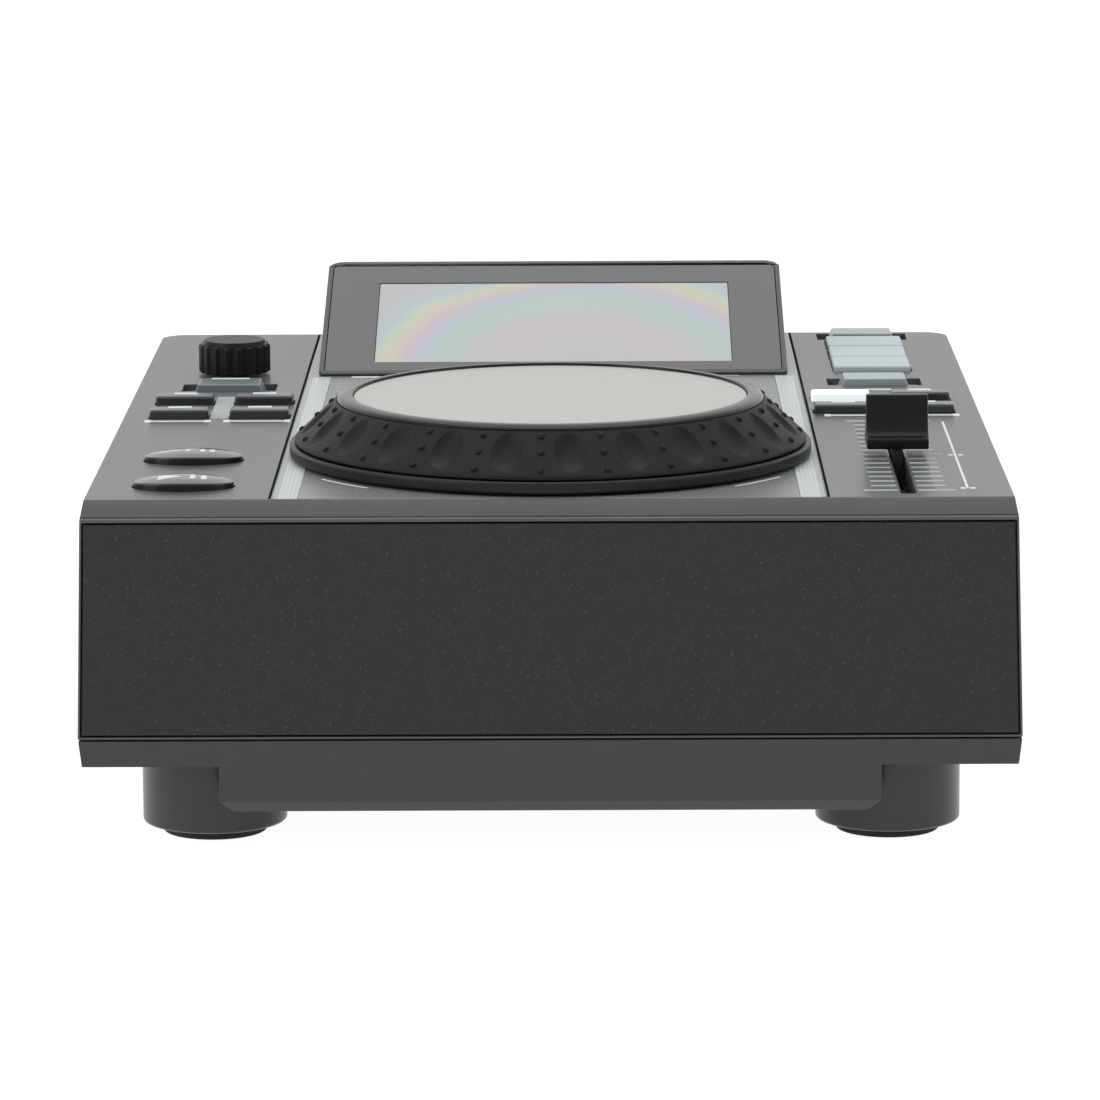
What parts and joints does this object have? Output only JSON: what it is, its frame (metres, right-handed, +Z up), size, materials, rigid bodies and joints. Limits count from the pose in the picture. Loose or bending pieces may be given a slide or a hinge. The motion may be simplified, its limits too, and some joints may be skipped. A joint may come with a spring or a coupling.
{
  "type": "tabletop dj media player",
  "caption": "Tabletop media player deck: drafted case on round feet, domed jog wheel with finger dimples, tilted screen, pitch fader, browse knob and keys.",
  "frame": {"origin": "on the table, under the middle of the case", "axes": "+X to the user's right, +Y to the back, +Z up"},
  "size_m": [0.2222, 0.278, 0.1064],
  "materials": {
    "shell_plastic": "textured gunmetal moulding",
    "deck_plastic": "textured gunmetal plate",
    "panel_plastic": "black moulding with a fine leather grain",
    "tray_plastic": "dark grey moulding",
    "strip_print": "pale silver with fine lines",
    "foot_plastic": "black moulding",
    "rubber_black": "matte rubber",
    "gloss_black": "glossy black",
    "screen_plastic": "fine matte black",
    "display_glass": "unlit display behind glass",
    "grip_rubber": "soft black rubber",
    "skirt_plastic": "satin black",
    "disc_metal": "bead-blasted",
    "steel": "bright steel",
    "bronze": "sintered bronze",
    "key_grey": "translucent grey",
    "key_dark": "dark satin",
    "key_white": "milky white",
    "circuit_board": "solder mask",
    "cable_grey": "flat ribbon cable",
    "socket_black": "black nylon",
    "gold_plate": "gold-plated",
    "switch_metal": "stamped sheet metal"
  },
  "bodies": {
    "case": {"top_shell": "shell_plastic", "centre_deck": "deck_plastic", "front_panel": "panel_plastic", "bottom_tray": "tray_plastic", "rear_panel": "socket_black", "side_strips": "strip_print", "foot_front_left": "foot_plastic", "foot_front_right": "foot_plastic", "foot_rear_left": "foot_plastic", "foot_rear_right": "foot_plastic", "foot_pads": "rubber_black", "screen_housing": "screen_plastic", "screen_bezel": "gloss_black", "lcd_glass": "display_glass", "lcd_module": "steel", "jog_bush": "bronze", "jog_base": "socket_black", "jog_sensor": "socket_black", "browse_encoder": "switch_metal", "fader_body": "switch_metal", "control_board_left": "circuit_board", "control_board_right": "circuit_board", "key_switches": "switch_metal", "main_board": "circuit_board", "power_supply": "circuit_board", "ribbon_cables": "cable_grey", "power_inlet": "socket_black", "power_switch": "socket_black", "phono_sockets": "gold_plate", "usb_sockets": "switch_metal", "screws": "steel"},
    "play_key": {"play_key": "key_grey"},
    "cue_key": {"cue_key": "key_grey"},
    "left_key_1": {"left_key_1": "key_dark"},
    "left_key_2": {"left_key_2": "key_dark"},
    "left_key_3": {"left_key_3": "key_dark"},
    "left_key_4": {"left_key_4": "key_dark"},
    "right_key_1": {"right_key_1": "key_dark"},
    "right_key_2": {"right_key_2": "key_dark"},
    "right_key_3": {"right_key_3": "key_white"},
    "right_key_4": {"right_key_4": "key_dark"},
    "left_saddle_key": {"left_saddle_key": "key_grey"},
    "right_saddle_key": {"right_saddle_key": "key_grey"},
    "rear_saddle_key": {"rear_saddle_key": "key_grey"},
    "pad_key_1": {"pad_key_1": "key_white"},
    "pad_key_2": {"pad_key_2": "key_white"},
    "pad_key_3": {"pad_key_3": "key_white"},
    "jog_wheel": {"jog_carrier": "skirt_plastic", "jog_grip": "grip_rubber", "jog_trim_ring": "gloss_black", "jog_disc": "disc_metal", "jog_spindle": "steel", "jog_clip": "steel", "jog_code_wheel": "socket_black"},
    "browse_plunger": {"browse_plunger": "socket_black"},
    "browse_knob": {"browse_knob": "skirt_plastic", "browse_shaft": "steel"},
    "fader": {"fader_cap": "skirt_plastic", "fader_lever": "skirt_plastic"},
    "power_rocker": {"power_rocker": "socket_black"}
  },
  "joints": [
    {"name": "jog_turn", "type": "hinge", "parent": "case", "child": "jog_wheel", "pos_m": [0, -0.0702, 0.09], "axis": [0, 0, 1], "continuous": true},
    {"name": "play_key_press", "type": "slide", "parent": "case", "child": "play_key", "axis": [0, 0, -1], "range_m": [0, 0.0012], "stiffness_N_per_m": 500, "springref_m": -0.0006},
    {"name": "cue_key_press", "type": "slide", "parent": "case", "child": "cue_key", "axis": [0, 0, -1], "range_m": [0, 0.0012], "stiffness_N_per_m": 500, "springref_m": -0.0006},
    {"name": "left_key_1_press", "type": "slide", "parent": "case", "child": "left_key_1", "axis": [0, 0, -1], "range_m": [0, 0.0008], "stiffness_N_per_m": 400, "springref_m": -0.0006},
    {"name": "left_key_2_press", "type": "slide", "parent": "case", "child": "left_key_2", "axis": [0, 0, -1], "range_m": [0, 0.0008], "stiffness_N_per_m": 400, "springref_m": -0.0006},
    {"name": "left_key_3_press", "type": "slide", "parent": "case", "child": "left_key_3", "axis": [0, 0, -1], "range_m": [0, 0.0008], "stiffness_N_per_m": 400, "springref_m": -0.0006},
    {"name": "left_key_4_press", "type": "slide", "parent": "case", "child": "left_key_4", "axis": [0, 0, -1], "range_m": [0, 0.0008], "stiffness_N_per_m": 400, "springref_m": -0.0006},
    {"name": "right_key_1_press", "type": "slide", "parent": "case", "child": "right_key_1", "axis": [0, 0, -1], "range_m": [0, 0.0008], "stiffness_N_per_m": 400, "springref_m": -0.0006},
    {"name": "right_key_2_press", "type": "slide", "parent": "case", "child": "right_key_2", "axis": [0, 0, -1], "range_m": [0, 0.0008], "stiffness_N_per_m": 400, "springref_m": -0.0006},
    {"name": "right_key_3_press", "type": "slide", "parent": "case", "child": "right_key_3", "axis": [0, 0, -1], "range_m": [0, 0.0008], "stiffness_N_per_m": 400, "springref_m": -0.0006},
    {"name": "right_key_4_press", "type": "slide", "parent": "case", "child": "right_key_4", "axis": [0, 0, -1], "range_m": [0, 0.0008], "stiffness_N_per_m": 400, "springref_m": -0.0006},
    {"name": "left_saddle_key_press", "type": "slide", "parent": "case", "child": "left_saddle_key", "axis": [0, 0, -1], "range_m": [0, 0.0008], "stiffness_N_per_m": 400, "springref_m": -0.0006},
    {"name": "right_saddle_key_press", "type": "slide", "parent": "case", "child": "right_saddle_key", "axis": [0, 0, -1], "range_m": [0, 0.0008], "stiffness_N_per_m": 400, "springref_m": -0.0006},
    {"name": "rear_saddle_key_press", "type": "slide", "parent": "case", "child": "rear_saddle_key", "axis": [0, 0, -1], "range_m": [0, 0.0008], "stiffness_N_per_m": 400, "springref_m": -0.0006},
    {"name": "pad_key_1_press", "type": "slide", "parent": "case", "child": "pad_key_1", "axis": [0, 0, -1], "range_m": [0, 0.0008], "stiffness_N_per_m": 400, "springref_m": -0.0006},
    {"name": "pad_key_2_press", "type": "slide", "parent": "case", "child": "pad_key_2", "axis": [0, 0, -1], "range_m": [0, 0.0008], "stiffness_N_per_m": 400, "springref_m": -0.0006},
    {"name": "pad_key_3_press", "type": "slide", "parent": "case", "child": "pad_key_3", "axis": [0, 0, -1], "range_m": [0, 0.0008], "stiffness_N_per_m": 400, "springref_m": -0.0006},
    {"name": "browse_push", "type": "slide", "parent": "case", "child": "browse_plunger", "axis": [0, 0, -1], "range_m": [0, 0.0005], "stiffness_N_per_m": 600, "springref_m": -0.0006},
    {"name": "browse_turn", "type": "hinge", "parent": "browse_plunger", "child": "browse_knob", "pos_m": [-0.085, 0.0618, 0.08], "axis": [0, 0, 1], "continuous": true},
    {"name": "fader_slide", "type": "slide", "parent": "case", "child": "fader", "axis": [0, 1, 0], "range_m": [-0.05, 0.05]},
    {"name": "power_rock", "type": "hinge", "parent": "case", "child": "power_rocker", "pos_m": [-0.038, 0.1265, 0.049], "axis": [1, 0, 0], "range_deg": [-16, 0]}
  ]
}
